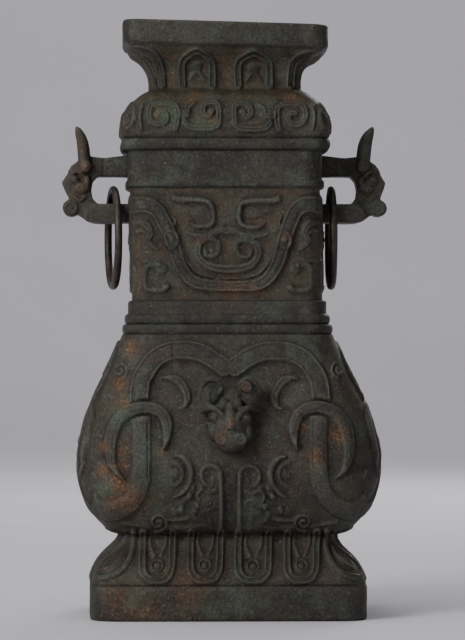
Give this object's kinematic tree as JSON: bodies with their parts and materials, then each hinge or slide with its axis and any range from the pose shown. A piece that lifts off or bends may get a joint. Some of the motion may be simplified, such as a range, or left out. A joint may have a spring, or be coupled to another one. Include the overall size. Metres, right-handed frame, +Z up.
{
  "type": "hu vessel",
  "caption": "Square cast bronze wine vessel with a low belly, spreading foot, flared rim and animal-head loop handles that carry loose rings.",
  "frame": {"origin": "on the ground, under the middle of the foot", "axes": "+Z up along the vessel's axis; -Y is the front; +X is the right handle"},
  "size_m": [0.2968, 0.2472, 0.54],
  "materials": {
    "vessel_bronze": "cast bronze with a dark brown-grey patina, earth in the sunk ground, and green and rust-orange patches",
    "ring_bronze": "cast bronze with a dark worn patina"
  },
  "bodies": {
    "root": {"vessel": "vessel_bronze"},
    "left_ring": {"left_ring": "ring_bronze"},
    "right_ring": {"right_ring": "ring_bronze"}
  },
  "joints": [
    {"name": "left_ring_swing", "type": "hinge", "parent": "root", "child": "left_ring", "pos_m": [-0.1025, 0, 0.37697], "axis": [-0.1132, 0.9936, 0], "range_deg": [-5, 55]},
    {"name": "right_ring_swing", "type": "hinge", "parent": "root", "child": "right_ring", "pos_m": [0.0975, 0, 0.37697], "axis": [0, -1, 0], "range_deg": [-2, 18]}
  ]
}
